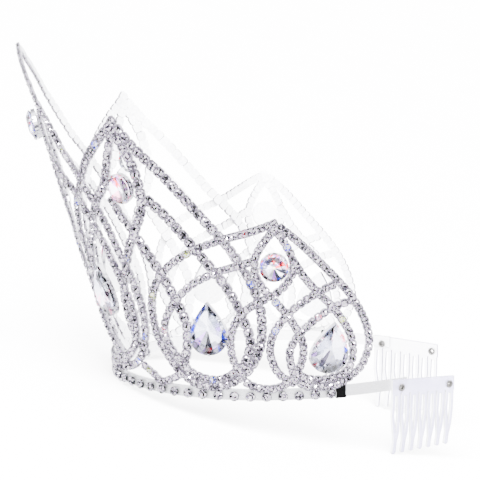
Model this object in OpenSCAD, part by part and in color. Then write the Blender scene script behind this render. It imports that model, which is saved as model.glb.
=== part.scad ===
/* [Band] */
// Distance from the centre of the head opening to the band at the front
front_depth = 51; // [48:0.5:54]
// Height of the flat metal strip
strip_height = 5.5; // [4.5:0.1:6.5]
// Thickness of the flat metal strip
strip_thick = 1; // [0.8:0.1:1.4]
// Length of the strip from the front centre line to each end
strip_reach = 184; // [183:1:187]
// Number of studs on each side of the centre line
studs_per_side = 19; // [15:1:19]
// Distance from stud to stud along the band
stud_pitch = 7.68; // [7.4:0.02:7.7]
// Diameter of a stud
stud_d = 4.4; // [3.6:0.1:5]
// How far a stud stands out
stud_out = 2.2; // [1.6:0.1:2.6]
// Length of the black thread wrapping on each side
wrap_length = 5.6; // [4:0.1:6]
// Thickness of the thread wrapping
wrap_thick = 0.7; // [0.4:0.1:1]

/* [Chains] */
// Width of the stone chain in the centre panel
centre_w = 3.6; // [3:0.1:3.8]
// Width of the stone chain in the two side peaks
peak_w = 3.8; // [3:0.1:4]
// Width of the stone chain in the two side loops
loop_w = 3.2; // [2.8:0.1:3.2]
// Depth of every stone chain, from its metal back to its stones
chain_depth = 2.2; // [1.8:0.1:2.4]
// How far the side peaks lie behind the centre panel and the loops
peak_behind = 2.8; // [2.7:0.1:3.2]
// Largest distance between two cross-sections of a chain
ring_gap = 11; // [8:0.5:12]

/* [Stones] */
// Height of a stone's crown above its girdle
crown_h = 2.4; // [1.6:0.1:3]
// Depth of a stone's pavilion below its girdle
pavilion_h = 2.4; // [1.8:0.1:2.6]
// Wall of a stone's metal setting
setting_wall = 0.4; // [0.3:0.1:0.6]
// Gap between a stone and its setting
stone_gap = 0.12; // [0.1:0.01:0.2]

/* [Combs] */
// Length of a comb along its spine
comb_length = 36; // [35.5:0.5:38]
// Height of the spine above the band line at its front end
spine_top = 3; // [2:0.5:4]
// Depth of the longest tooth below the band line
tooth_reach = 35; // [30:0.5:36]
// Thickness of the comb
comb_thick = 1.6; // [1.2:0.1:2]
// Radius of the inward curve of the teeth
comb_curve_r = 150; // [120:5:240]
// Number of teeth
tooth_count = 7; // [5:1:7]
// Radius of the hole through an eyelet
eyelet_hole_r = 0.9; // [0.6:0.1:1.1]

/* [Hidden] */
// The stones with a setting of their own. Columns: name, place along the band from the centre line,
// height above the band line, distance in front of the chains, width, height and turn in its plane.
STONES = [
    ["front_drop",  28.1,  45.5, 0.2,  17.4, 26,   0],
    ["middle_drop", 83.45, 31.8, 0.2,  17,   24.6, 0],
    ["back_drop",   140.9, 23.2, 0.2,  18,   24,   -6],
    ["peak_round",  50.3,  98,   -2.4, 13.6, 13.6, 0],
    ["loop_round",  114.3, 64.3, 0.2,  12.5, 12.5, 0]
];
CREST = ["crest_drop", 0, 124.5, 4.4, 9.6, 14, 0];
SIDES = ["left", "right"];

// Plan of the band from the front centre to one end. Columns: radius of the arc and its turn.
ARCS = [[58, 24], [76, 68], [110, 20], [240, 22]];
STARTS = [for (i = [0 : len(ARCS) - 1]) arc_start(i)];
// Outward lean of the chains per millimetre of height. Columns: place along the band and lean.
// The crown spreads at the centre, the peaks and the loops, and stands upright between them.
LEAN = [[0, 0.285], [15, 0.288], [27, 0.258], [51, 0.214], [87, 0.01], [115, 0.235], [147, 0.14], [175, 0.1]];

// The chains as laid out flat. Columns: place along the band from the centre line and height.
CENTRE_OUTLINE = [[0, 163], [5.5, 157.5], [12, 147], [18, 131], [23.5, 114], [30, 102.5], [36, 90.5],
    [41, 77], [45, 64], [49.5, 53], [52, 41], [51.8, 30], [48.5, 19.5], [42, 12.5], [31, 8.2], [16, 5.8],
    [0, 5.2]];
CENTRE_ARCH = [[0, 129], [6, 122], [12, 113], [17.5, 103], [23.5, 94], [29, 86], [33.5, 76.5], [37.5, 66],
    [41, 54.5], [44.5, 44], [46, 33], [44, 23.5], [39, 16.6], [30, 12.3], [16, 9.6], [0, 9]];
CENTRE_LEAF = [[-0.9, 127.6], [4.5, 118.5], [7.5, 107], [7.3, 94], [4.2, 83], [-0.9, 74.5]];
CENTRE_STEM = [[-0.8, 76], [5, 68.5], [9.5, 61], [13, 52], [14.8, 43], [14.6, 34], [16.5, 25.5], [22, 17.5],
    [33, 9.4]];

PEAK_FRONT = [[52, 130.6], [44, 121.2], [34.5, 109.2], [25.5, 96.5], [18.5, 84], [13.5, 72], [9, 60],
    [5.5, 48], [4, 36], [5.5, 23], [10, 13.5], [16, 8]];
PEAK_REAR = [[52, 130.6], [59, 118.6], [66.5, 107.2], [74, 95], [82, 83.4], [91, 72], [98, 63.5],
    [103.5, 54], [107.3, 44.5], [108.7, 34], [108.2, 25], [105.5, 17], [100, 11], [94, 8]];
PEAK_LEAF_FRONT = [[51.2, 126.2], [47.5, 117.2], [45, 109], [42.5, 101], [39.5, 95.5], [35, 90], [30.5, 82.5],
    [25.5, 74], [21, 65], [17, 56], [13.5, 46.5], [11.5, 37], [11.8, 28], [15, 19], [20, 12.5]];
PEAK_LEAF_REAR = [[51.2, 126.2], [55, 117.8], [57.6, 110], [59, 101], [59.3, 92], [57.5, 84.5], [53.5, 77],
    [49, 70], [45.5, 62], [41.8, 53], [39, 45], [37.9, 37], [38.5, 29], [41.5, 21.5], [46, 16]];
PEAK_SWEEP = [[59.3, 96], [67, 86.3], [74, 75.5], [81.7, 64.3], [90, 53], [96.5, 43], [102.5, 29],
    [102.8, 22], [100.5, 15.5], [96, 10.5]];
PEAK_STEM = [[43.9, 91.3], [47.5, 83.5], [54, 74.5], [60, 63.5], [65.5, 51.5], [72, 34.5], [72.4, 27],
    [71.6, 20], [69.5, 13.5]];

LOOP_FRONT = [[114.5, 85.5], [102.5, 79.5], [90, 74.5], [78, 69.6], [68, 62.5], [61, 52.5], [57.6, 40],
    [58, 28], [61.5, 18.7], [67, 12], [74.5, 7], [84, 5], [92.5, 6.2], [99, 10]];
LOOP_REAR = [[114.5, 85.5], [124, 76.4], [133.5, 66.2], [144, 55], [152.5, 44.5], [158.7, 34],
    [161.7, 24], [160.2, 16.5], [156.5, 11.5], [149, 7], [140, 5], [131, 5.6], [124.5, 9]];
LOOP_ARCH_FRONT = [[105.8, 66.5], [95.5, 62], [85.5, 58], [76, 52.5], [68, 43.5], [63, 33.5],
    [62.6, 26], [65.6, 19.3], [70.6, 13.8], [77.5, 9.9], [86, 8.5], [92.3, 10.2], [98, 14]];
LOOP_ARCH_REAR = [[123.3, 65.5], [127.5, 58.5], [134, 50.5], [141, 43.3], [147.5, 34.5],
    [151.4, 27.5], [153.1, 20.5], [152.4, 14.3], [148, 10.3], [140, 8.4], [131.5, 9.1], [126, 12.2]];
LOOP_LEAF_FRONT = [[114.5, 83], [109.8, 75.5], [106.6, 68], [106.4, 61], [109, 54.8], [113, 49.5]];
LOOP_LEAF_REAR = [[114.5, 83], [119, 75], [122.1, 67.5], [122.1, 60.5], [118.3, 54], [113, 49.5]];
LOOP_PETAL_FRONT = [[113, 49.5], [107, 46], [101.5, 41.5], [97, 35.5], [94.6, 29], [94.4, 22], [96, 16],
    [99.5, 12]];
LOOP_PETAL_REAR = [[113, 49.5], [117.5, 44], [121.5, 38.5], [125.2, 32], [128, 25.5], [128.3, 19],
    [126.5, 13.5], [124, 9.5]];
LOOP_CROSS_HIGH = [[144.5, 54.5], [135, 50.7], [126, 45.2], [119, 38.6], [114.3, 30.5],
    [112.9, 22], [115, 15], [119, 10.5], [124, 7.5]];
LOOP_CROSS_LOW = [[151, 45.3], [141.5, 42], [132, 36], [125.3, 29], [121.9, 21.5],
    [123.5, 13], [126, 10]];
SWAG_FRONT = [[45.6, 10.9], [51.5, 8], [58, 5.2], [63, 6.8], [68.5, 10]];
SWAG_REAR = [[99, 9.5], [105, 6.3], [111.5, 5], [117.5, 5.9], [123.5, 9]];

// Heights on the band
strip_bottom = -2.3;
// Longest straight step of a wall that follows the band
wall_step = 4;
strip_top = strip_bottom + strip_height;
stud_z = -0.2;
stud_seat = 0.1;
wrap_start = 144.7;
wrap_gap = 0.1;

// Places on a comb, whose own plane has its origin at the front eyelet: along the spine, then up
front_eyelet_s = 179.6;
front_eyelet = [0, -1];
comb_front = -5;
rear_eyelet = [comb_front + comb_length - 3, -2.7];
comb_gap = 0.15;
comb_inner = strip_thick / 2 + comb_gap;
eyelet_wall = 0.5;
eyelet_flange_r = 1.9;
eyelet_flange_h = 0.35;
eyelet_clearance = 0.1;
barrel_r = eyelet_hole_r + eyelet_wall;
tooth_tip_r = 1;
first_tip = 3.2;

// The crown is tipped forward until its front studs and the front teeth of its combs stand level
stud_face = strip_thick / 2 + stud_seat + stud_out;
comb_plan = plan(front_eyelet_s);
tip_along = comb_front + first_tip;
tip_inward = bent_in(tooth_reach) - comb_inner;
stand_front = [-front_depth - stud_face, stud_z - stud_d / 2];
stand_rear = [comb_plan[1] + tip_along * sin(comb_plan[2]) + tip_inward * cos(comb_plan[2]), -tooth_reach];
tip_angle = atan2(stand_front[1] - stand_rear[1], stand_rear[0] - stand_front[0]);
lift = -(stand_front[1] * cos(tip_angle) + stand_front[0] * sin(tip_angle));
// Moves the standing crown so that the frame's origin is under the middle of its length
plan_shift = 8;

// Unit vector along v
function unit(v) = v / norm(v);
// Position and heading, in degrees, where arc i of the plan begins
function arc_start(i) = i == 0 ? [0, -front_depth, 0] :
    let (p = arc_start(i - 1), r = ARCS[i - 1][0], turn = ARCS[i - 1][1])
    [p[0] + r * (sin(p[2] + turn) - sin(p[2])), p[1] + r * (cos(p[2]) - cos(p[2] + turn)), p[2] + turn];
function arc_length(i) = ARCS[i][0] * ARCS[i][1] * PI / 180;
// The arc that holds a place along the band, and how far into that arc it lies
function arc_at(s, i = 0) =
    i == len(ARCS) - 1 || s <= arc_length(i) ? [i, s] : arc_at(s - arc_length(i), i + 1);
// Plan position and heading at a place along the band
function plan(s) =
    let (a = arc_at(abs(s)), r = ARCS[a[0]][0], p = STARTS[a[0]], h = p[2] + a[1] / r * 180 / PI)
    [sign(s) * (p[0] + r * (sin(h) - sin(p[2]))), p[1] + r * (cos(p[2]) - cos(h)), sign(s) * h];
// Point beside the plan's line, so far outward
function beside_plan(s, out) = let (p = plan(s)) [p[0] + sin(p[2]) * out, p[1] - cos(p[2]) * out];
function smoothstep(t) = t * t * (3 - 2 * t);
function lean(s, i = 0) =
    i == len(LEAN) - 1 ? LEAN[i][1] :
    s > LEAN[i + 1][0] ? lean(s, i + 1) :
    let (t = smoothstep((s - LEAN[i][0]) / (LEAN[i + 1][0] - LEAN[i][0])))
    LEAN[i][1] + (LEAN[i + 1][1] - LEAN[i][1]) * t;
// Point of the crown's surface at a place along the band and a height
function surface_point(s, z) =
    let (p = plan(s), out = lean(abs(s)) * max(z, 0))
    [p[0] + sin(p[2]) * out, p[1] - cos(p[2]) * out, z];
function along_band(s, z) = surface_point(s + 0.5, z) - surface_point(s - 0.5, z);
function up_surface(s, z) = surface_point(s, z + 0.5) - surface_point(s, z - 0.5);
function outward(s, z) = unit(cross(along_band(s, z), up_surface(s, z)));
function chain_point(q, out) = surface_point(q[0], q[1]) + outward(q[0], q[1]) * out;

// Control point i, with one more point added past each end
function control(path, i) =
    i < 0 ? 2 * path[0] - path[1] :
    i >= len(path) ? 2 * path[len(path) - 1] - path[len(path) - 2] : path[i];
function between(a, b, c, d, t) =
    (2 * b + (c - a) * t + (2 * a - 5 * b + 4 * c - d) * t * t + (3 * b - a - 3 * c + d) * t * t * t) / 2;
// A smooth curve through the control points, with a further point wherever two lie well over ring_gap apart
overstep = 0.4;
function smooth(path) = concat(
    [for (i = [0 : len(path) - 2])
        let (n = ceil(norm(path[i + 1] - path[i]) / ring_gap - overstep))
        for (k = [0 : n - 1])
            between(control(path, i - 1), path[i], path[i + 1], control(path, i + 2), k / n)],
    [path[len(path) - 1]]);
function mirrored(path) = [for (q = path) [-q[0], q[1]]];
// A path on one side of the centre line, carried round to the other side
function round_trip(path) = concat(path, [for (i = [len(path) - 2 : -1 : 0]) [-path[i][0], path[i][1]]]);

// Cross-section of a chain at point i of its curve, an oval drawn a little large because its sides are flat
RING_SIDES = 8;
oval_swell = 1.04;
function chain_ring(points, normals, i, width) =
    let (last = len(points) - 1,
        forward = unit(points[min(i + 1, last)] - points[max(i - 1, 0)]),
        across = unit(cross(forward, normals[i])),
        out = cross(across, forward))
    [for (k = [0 : RING_SIDES - 1])
        let (turn = 360 / RING_SIDES * (k + 0.5))
        points[i] + (across * width * cos(turn) + out * chain_depth * sin(turn)) / 2 * oval_swell];
module chain(path, width, out) {
    n = RING_SIDES;
    curve = smooth(path);
    points = [for (q = curve) chain_point(q, out)];
    normals = [for (q = curve) outward(q[0], q[1])];
    last = len(points) - 1;
    polyhedron(
        [for (i = [0 : last]) each chain_ring(points, normals, i, width)],
        concat(
            [[for (k = [n - 1 : -1 : 0]) k]],
            [for (i = [0 : last - 1], k = [0 : n - 1])
                [i * n + k, i * n + (k + 1) % n, (i + 1) * n + (k + 1) % n, (i + 1) * n + k]],
            [[for (k = [0 : n - 1]) last * n + k]]));
}

// Sets the crown down as it stands by itself
module stand() {
    translate([0, plan_shift, lift]) rotate([tip_angle, 0, 0]) children();
}
// Draws its children on the right side, or mirrored on the left side
module on_side(side) {
    if (side == "left") mirror([1, 0, 0]) children(); else children();
}
// Places its children on the crown's surface, with X along the band and Z outward
module on_surface(s, z, out, turn) {
    e3 = outward(s, z);
    e1 = unit(along_band(s, z));
    e2 = cross(e3, e1);
    p = surface_point(s, z) + e3 * out;
    multmatrix([
        [e1[0], e2[0], e3[0], p[0]],
        [e1[1], e2[1], e3[1], p[1]],
        [e1[2], e2[2], e3[2], p[2]],
        [0, 0, 0, 1]]) rotate([0, 0, turn]) children();
}
// A wall that follows the band between two places, two offsets and two heights
module band_wall(from, to, inner, outer, bottom, top) {
    steps = ceil((to - from) / wall_step);
    places = [for (k = [0 : steps]) from + (to - from) * k / steps];
    translate([0, 0, bottom]) linear_extrude(top - bottom)
        polygon([
            for (s = places) beside_plan(s, outer),
            for (k = [steps : -1 : 0]) beside_plan(places[k], inner)]);
}

// The flat metal strip that goes round the head, with a hole near each end
module band() {
    color("silver") stand() difference() {
        band_wall(-strip_reach, strip_reach, -strip_thick / 2, strip_thick / 2, strip_bottom, strip_top);
        for (side = SIDES) on_side(side)
            on_surface(front_eyelet_s, front_eyelet[1], 0, 0)
                cylinder(h = 4 * strip_thick, r = barrel_r + eyelet_clearance, center = true, $fn = 48);
    }
}
// One stone in its round claw cup
module stud() {
    cup_h = stud_out * 0.6;
    girdle_d = stud_d * 0.9;
    table_d = stud_d * 0.5;
    cylinder(h = cup_h, d = stud_d, $fn = 24);
    translate([0, 0, cup_h]) cylinder(h = stud_out - cup_h, d1 = girdle_d, d2 = table_d, $fn = 24);
}
module band_studs() {
    color("white") stand()
        for (side = SIDES, i = [0 : studs_per_side - 1]) on_side(side)
            on_surface((i + 0.5) * stud_pitch, stud_z - 0.3, strip_thick / 2 + stud_seat, 0)
                translate([0, 0.3, 0]) stud();
}
// Black thread wound round the strip behind the last stud
module wrap(side) {
    out = strip_thick / 2 + wrap_gap;
    color("black") stand() on_side(side) difference() {
        band_wall(wrap_start, wrap_start + wrap_length, -out - wrap_thick, out + wrap_thick,
            strip_bottom - wrap_gap - wrap_thick, strip_top + wrap_gap + wrap_thick);
        band_wall(wrap_start - 1, wrap_start + wrap_length + 1, -out, out,
            strip_bottom - wrap_gap, strip_top + wrap_gap);
    }
}

// The strands of one lattice, soldered into a single body wherever they cross or touch
module soldered() {
    resize([0, 0, 0]) union() children();
}
module centre_chains() {
    color("lightsteelblue") stand() soldered() {
        chain(round_trip(CENTRE_OUTLINE), centre_w, 0);
        chain(round_trip(CENTRE_ARCH), centre_w, 0);
        for (path = [CENTRE_LEAF, CENTRE_STEM]) {
            chain(path, centre_w, 0);
            chain(mirrored(path), centre_w, 0);
        }
    }
}
module peak_chains(side) {
    color("lightgray") stand() on_side(side) soldered()
        for (path = [PEAK_FRONT, PEAK_REAR, PEAK_LEAF_FRONT, PEAK_LEAF_REAR, PEAK_SWEEP, PEAK_STEM])
            chain(path, peak_w, -peak_behind);
}
module loop_chains(side) {
    color("gainsboro") stand() on_side(side) soldered()
        for (path = [LOOP_FRONT, LOOP_REAR, LOOP_ARCH_FRONT, LOOP_ARCH_REAR, LOOP_LEAF_FRONT, LOOP_LEAF_REAR,
                LOOP_PETAL_FRONT, LOOP_PETAL_REAR, LOOP_CROSS_HIGH, LOOP_CROSS_LOW, SWAG_FRONT, SWAG_REAR])
            chain(path, loop_w, 0);
}

// Outline of a stone: an oval for a round one, and a teardrop with its point up for a taller one
STONE_SIDES = 12;
teardrop_swell = 1.299;
function outline_point(w, h, t) =
    h > w ? [w / 2 * teardrop_swell * sin(t) * sin(t / 2), h / 2 * cos(t)] : [w / 2 * sin(t), h / 2 * cos(t)];
function outline(w, h, n) = [for (k = [n - 1 : -1 : 0]) outline_point(w, h, 360 * k / n)];
// Columns: share of the outline's size, and height as a share of the crown, or of the pavilion below 0
STONE_LEVELS = [[0.3, -1], [1, 0], [1, 0.15], [0.84, 0.65], [0.56, 1]];
// A cut stone with a table, two rows of crown facets and a pavilion, its girdle at height 0
module cut_stone(w, h) {
    n = STONE_SIDES;
    rim = outline(w, h, n);
    last = len(STONE_LEVELS) - 1;
    polyhedron(
        [for (level = STONE_LEVELS, q = rim)
            [q[0] * level[0], q[1] * level[0], level[1] * (level[1] < 0 ? pavilion_h : crown_h)]],
        concat(
            [[for (k = [0 : n - 1]) k]],
            [for (i = [0 : last - 1], k = [0 : n - 1])
                [i * n + k, (i + 1) * n + k, (i + 1) * n + (k + 1) % n, i * n + (k + 1) % n]],
            [[for (k = [n - 1 : -1 : 0]) last * n + k]]));
}
// One claw of a setting, drawn outward from the edge of the stone and bent over its crown
claw_w = 1.1;
claw_foot = -1.6;
module claw() {
    outer = stone_gap + setting_wall + 0.1;
    rotate([90, 0, 0]) translate([0, 0, -claw_w / 2]) linear_extrude(claw_w)
        polygon([[stone_gap, claw_foot], [outer, claw_foot], [outer, 0.7], [-0.3, 1.75], [-0.4, 1.3],
            [stone_gap, 0.55]]);
}
// A metal cup that follows the stone's outline, closed behind, with claws round its edge
module setting(w, h) {
    grow = stone_gap + setting_wall;
    n = STONE_SIDES * 2;
    floor_z = -pavilion_h - stone_gap - setting_wall;
    rim_z = 0.2;
    translate([0, 0, floor_z]) linear_extrude(setting_wall)
        polygon(outline(w + 2 * grow, h + 2 * grow, n));
    translate([0, 0, floor_z]) linear_extrude(rim_z - floor_z) difference() {
        polygon(outline(w + 2 * grow, h + 2 * grow, n));
        polygon(outline(w + 2 * stone_gap, h + 2 * stone_gap, n));
    }
    for (t = h > w ? [70, 125, 180, 235, 290] : [30 : 60 : 330]) {
        q = outline_point(w, h, t);
        d = outline_point(w, h, t + 1) - outline_point(w, h, t - 1);
        translate([q[0], q[1], 0]) rotate([0, 0, atan2(d[0], -d[1])]) claw();
    }
}
module stone(row) {
    color("white") stand() on_surface(row[1], row[2], row[3], row[6]) cut_stone(row[4], row[5]);
}
module stone_setting(row) {
    color("silver") stand() on_surface(row[1], row[2], row[3], row[6]) setting(row[4], row[5]);
}
module side_stone(row, side) {
    color("white") stand() on_side(side) on_surface(row[1], row[2], row[3], row[6]) cut_stone(row[4], row[5]);
}
module side_setting(row, side) {
    color("silver") stand() on_side(side) on_surface(row[1], row[2], row[3], row[6]) setting(row[4], row[5]);
}

// Places its children in the plane of the right comb, with X along its spine, Y up and Z outward
module on_comb() {
    h = comb_plan[2];
    multmatrix([
        [cos(h), 0, sin(h), comb_plan[0]],
        [sin(h), 0, -cos(h), comb_plan[1]],
        [0, 1, 0, 0],
        [0, 0, 0, 1]]) children();
}
// One tooth: two prongs that swell apart and join above a rounded tip. Columns of the outline, which has
// the same shape on both sides: half width and height below the root down to where the prongs join, and
// then below that.
root_w = 2.2;
TOOTH_ABOVE = [[2.3, -15]];
TOOTH_BELOW = [[1.75, -23.5], [tooth_tip_r, -28.5]];
// The slot between the prongs: half its width and distance below the root at its top, half its width
// and height where the prongs stand furthest apart, and height where it ends
slot_top_w = 0.75;
slot_below_root = 1.9;
slot_w = 1.05;
slot_z = -15;
slot_end = -24.5;
module tooth(top, root, tip, reach) {
    round_z = -reach + tooth_tip_r;
    linear_extrude(comb_length, center = true) difference() {
        union() {
            polygon([
                [top - root_w, root],
                for (q = TOOTH_ABOVE) [top - q[0], q[1]],
                for (q = TOOTH_BELOW) [tip - q[0], q[1]],
                [tip - tooth_tip_r, round_z],
                [tip + tooth_tip_r, round_z],
                for (i = [1, 0]) [tip + TOOTH_BELOW[i][0], TOOTH_BELOW[i][1]],
                for (q = TOOTH_ABOVE) [top + q[0], q[1]],
                [top + root_w, root]]);
            translate([tip, round_z]) circle(tooth_tip_r, $fn = 24);
        }
        polygon([
            [top - slot_top_w, root - slot_below_root],
            [top - slot_w, slot_z],
            [tip, slot_end],
            [top + slot_w, slot_z],
            [top + slot_top_w, root - slot_below_root]]);
    }
}
// How far inward the comb's sheet has bent at a height, and the heights of its bends
function bent_in(v) = comb_curve_r - sqrt(pow(comb_curve_r, 2) - pow(v, 2));
BENDS = [5, -5, -10.5, -16, -21.5, -27, -32.5, -38];
module curved_sheet() {
    last = len(BENDS) - 1;
    rotate([90, 0, 90]) linear_extrude(4 * comb_length, center = true)
        polygon([
            for (v = BENDS) [v, comb_inner - bent_in(v)],
            for (k = [last : -1 : 0]) [BENDS[k], comb_inner + comb_thick - bent_in(BENDS[k])]]);
}
spine_slope = 2;
spine_front_h = 6.4;
spine_rear_h = 7;
first_tooth = 2.3;
top_pitch = 5.2;
tip_pitch = 5.1;
tooth_shorter = 0.15;
first_root = -3;
root_lower = 0.37;
module comb(side) {
    comb_rear = comb_front + comb_length;
    spine_rear_top = spine_top - spine_slope;
    color("lavender") stand() on_side(side) difference() {
        intersection() {
            on_comb() {
                linear_extrude(comb_length, center = true)
                    polygon([[comb_front, spine_top], [comb_rear, spine_rear_top],
                        [comb_rear, spine_rear_top - spine_rear_h], [comb_front, spine_top - spine_front_h]]);
                for (k = [0 : tooth_count - 1])
                    tooth(comb_front + first_tooth + top_pitch * k, first_root - root_lower * k,
                        tip_along + tip_pitch * k, tooth_reach - tooth_shorter * k);
            }
            on_comb() curved_sheet();
        }
        for (q = [front_eyelet, rear_eyelet])
            on_comb() translate([q[0], q[1], comb_inner])
                cylinder(h = 4 * comb_thick, r = barrel_r + eyelet_clearance, center = true, $fn = 48);
    }
}
// A hollow rivet with a flange at each end, from the inner face to the outer face of what it holds
module eyelet(inner, outer) {
    difference() {
        union() {
            translate([0, 0, inner - eyelet_flange_h])
                cylinder(h = outer - inner + 2 * eyelet_flange_h, r = barrel_r, $fn = 48);
            for (z = [inner - eyelet_flange_h, outer])
                translate([0, 0, z]) cylinder(h = eyelet_flange_h, r = eyelet_flange_r, $fn = 48);
        }
        cylinder(h = 6 * comb_thick, r = eyelet_hole_r, center = true, $fn = 48);
    }
}
module front_eyelet(side) {
    color("gray") stand() on_side(side) on_comb() translate([front_eyelet[0], front_eyelet[1], 0])
        eyelet(-strip_thick / 2 - eyelet_clearance, comb_inner + comb_thick + eyelet_clearance);
}
module rear_eyelet(side) {
    color("gray") stand() on_side(side) on_comb() translate([rear_eyelet[0], rear_eyelet[1], 0])
        eyelet(comb_inner - eyelet_clearance, comb_inner + comb_thick + eyelet_clearance);
}

band();
band_studs();
centre_chains();
stone(CREST);  // crest_drop
stone_setting(CREST);  // crest_drop_setting
for (side = SIDES) {
    wrap(side);
    comb(side);
    front_eyelet(side);
    rear_eyelet(side);
    peak_chains(side);
    loop_chains(side);
    for (row = STONES) {
        side_stone(row, side);
        side_setting(row, side);
    }
}
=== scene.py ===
import math
import random

import bmesh
import bpy
from mathutils import Matrix, Vector


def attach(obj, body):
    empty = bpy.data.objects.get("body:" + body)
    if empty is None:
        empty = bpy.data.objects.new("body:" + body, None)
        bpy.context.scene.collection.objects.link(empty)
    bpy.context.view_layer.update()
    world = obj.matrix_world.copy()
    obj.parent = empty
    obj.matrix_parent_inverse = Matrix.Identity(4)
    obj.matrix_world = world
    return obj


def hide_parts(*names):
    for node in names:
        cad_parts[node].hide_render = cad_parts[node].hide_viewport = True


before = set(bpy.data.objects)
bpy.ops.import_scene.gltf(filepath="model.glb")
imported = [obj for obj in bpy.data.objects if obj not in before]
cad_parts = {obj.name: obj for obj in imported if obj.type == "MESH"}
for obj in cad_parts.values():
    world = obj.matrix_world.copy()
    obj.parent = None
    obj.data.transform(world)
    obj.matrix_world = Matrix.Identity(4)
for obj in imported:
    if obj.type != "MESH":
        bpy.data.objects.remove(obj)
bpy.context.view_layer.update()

# The camera. It looks at the crown from the side of its right-hand pieces, a metre away and a little
# above, so that the crown's front points to the left of the picture.
def put_in_scene(name, data):
    """Makes an object of the data and puts it in the scene."""
    made = bpy.data.objects.new(name, data)
    bpy.context.scene.collection.objects.link(made)
    return made


camera_data = bpy.data.cameras.new("camera")
camera_data.sensor_width = 36
camera_data.lens = 153
camera = put_in_scene("camera", camera_data)
camera.location = (1.01239, -0.04510, 0.23757)
camera.rotation_euler = [math.radians(turn) for turn in (80.911, -12.719, 89.192)]
bpy.context.scene.camera = camera

# The studio. A white table runs back out of sight under a broad window high on the camera's side and
# three small lamps. What the facets and the polished metal mirror is a room of pale and dark panels.
BACKDROP_STRENGTH = 16
FILL_STRENGTH = 7
ROOM_STRENGTH = 5.2
ROOM_TONES = [(0.2, (0.05, 0.05, 0.06)), (0.42, (0.5, 0.49, 0.53)), (0.75, (1.0, 0.99, 1.04))]
WINDOW_SHINES = (-0.75, 0.3, -0.9)
TABLE_REACH = 40


def tones(tree, factor, stops):
    """Colours along a factor, given as (position, colour) stops."""
    ramp = tree.nodes.new("ShaderNodeValToRGB")
    for i, (position, colour) in enumerate(stops):
        element = ramp.color_ramp.elements[i] if i < 2 else ramp.color_ramp.elements.new(position)
        element.position = position
        element.color = (*colour, 1)
    tree.links.new(factor, ramp.inputs["Fac"])
    return ramp.outputs["Color"]


def background(tree, strength):
    """An even white background."""
    shader = tree.nodes.new("ShaderNodeBackground")
    shader.inputs["Color"].default_value = (1, 1, 1, 1)
    shader.inputs["Strength"].default_value = strength
    return shader


def shown_to(tree, kind, shader, other):
    """Shows one shader to a kind of ray, and another to the rest."""
    ray = tree.nodes.new("ShaderNodeLightPath")
    pick = tree.nodes.new("ShaderNodeMixShader")
    tree.links.new(ray.outputs[kind], pick.inputs["Fac"])
    tree.links.new(other.outputs[0], pick.inputs[1])
    tree.links.new(shader.outputs[0], pick.inputs[2])
    return pick


world = bpy.data.worlds.new("studio")
bpy.context.scene.world = world
world.use_nodes = True
tree = world.node_tree
tree.nodes.clear()
panels = tree.nodes.new("ShaderNodeTexWave")
panels.wave_type = "BANDS"
panels.bands_direction = "DIAGONAL"
panels.inputs["Scale"].default_value = 1.9
panels.inputs["Distortion"].default_value = 6
panels.inputs["Detail"].default_value = 1
panels.inputs["Detail Scale"].default_value = 1.4
room = background(tree, ROOM_STRENGTH)
tree.links.new(tones(tree, panels.outputs["Color"], ROOM_TONES), room.inputs["Color"])
# The room is left to mirrors and glass: matt surfaces get an even fill, and the camera a white wall.
filled = shown_to(tree, "Is Diffuse Ray", background(tree, FILL_STRENGTH), room)
studio = shown_to(tree, "Is Camera Ray", background(tree, BACKDROP_STRENGTH), filled)
out = tree.nodes.new("ShaderNodeOutputWorld")
tree.links.new(studio.outputs["Shader"], out.inputs["Surface"])


def turned_to(light, direction):
    """Turns a light to shine in a direction."""
    light.rotation_euler = Vector(direction).to_track_quat("-Z", "Y").to_euler()


window = bpy.data.lights.new("window", "SUN")
window.energy = 46
window.angle = math.radians(60)
window_light = put_in_scene("window", window)
turned_to(window_light, WINDOW_SHINES)
window_light.visible_glossy = False
window_light.visible_transmission = False


def lamp(name, place, target, size, power):
    """A round lamp of a size and power, at a place and turned to a target."""
    data = bpy.data.lights.new(name, "AREA")
    data.shape = "DISK"
    data.size = size
    data.energy = power
    light = put_in_scene(name, data)
    light.location = place
    turned_to(light, Vector(target) - Vector(place))


lamp("front_lamp", (0.9, -0.9, 1.1), (0, 0, 0.06), 0.5, 20)
lamp("back_lamp", (0.7, 1.0, 0.9), (0, 0, 0.06), 0.4, 14)
lamp("spark_lamp", (1.0, 0.15, 0.45), (0, 0, 0.08), 0.12, 6)


def finish_of(name, **values):
    """A material whose shader has these constant values; returns it with its tree and its shader."""
    material = bpy.data.materials.new(name)
    material.use_nodes = True
    shader = material.node_tree.nodes["Principled BSDF"]
    for socket, value in values.items():
        shader.inputs[socket.replace("_", " ")].default_value = value
    return material, material.node_tree, shader


def noise_factor(tree, scale, detail, stretch=(1, 1, 1)):
    """A noise pattern on the piece's own coordinates, stretched if asked."""
    place = tree.nodes.new("ShaderNodeTexCoord")
    stretched = tree.nodes.new("ShaderNodeMapping")
    stretched.inputs["Scale"].default_value = stretch
    noise = tree.nodes.new("ShaderNodeTexNoise")
    noise.inputs["Scale"].default_value = scale
    noise.inputs["Detail"].default_value = detail
    tree.links.new(place.outputs["Object"], stretched.inputs["Vector"])
    tree.links.new(stretched.outputs["Vector"], noise.inputs["Vector"])
    return noise.outputs["Fac"]


def coloured(tree, shader, factor, stops):
    """Gives a shader the colours along a factor."""
    tree.links.new(tones(tree, factor, stops), shader.inputs["Base Color"])


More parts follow.
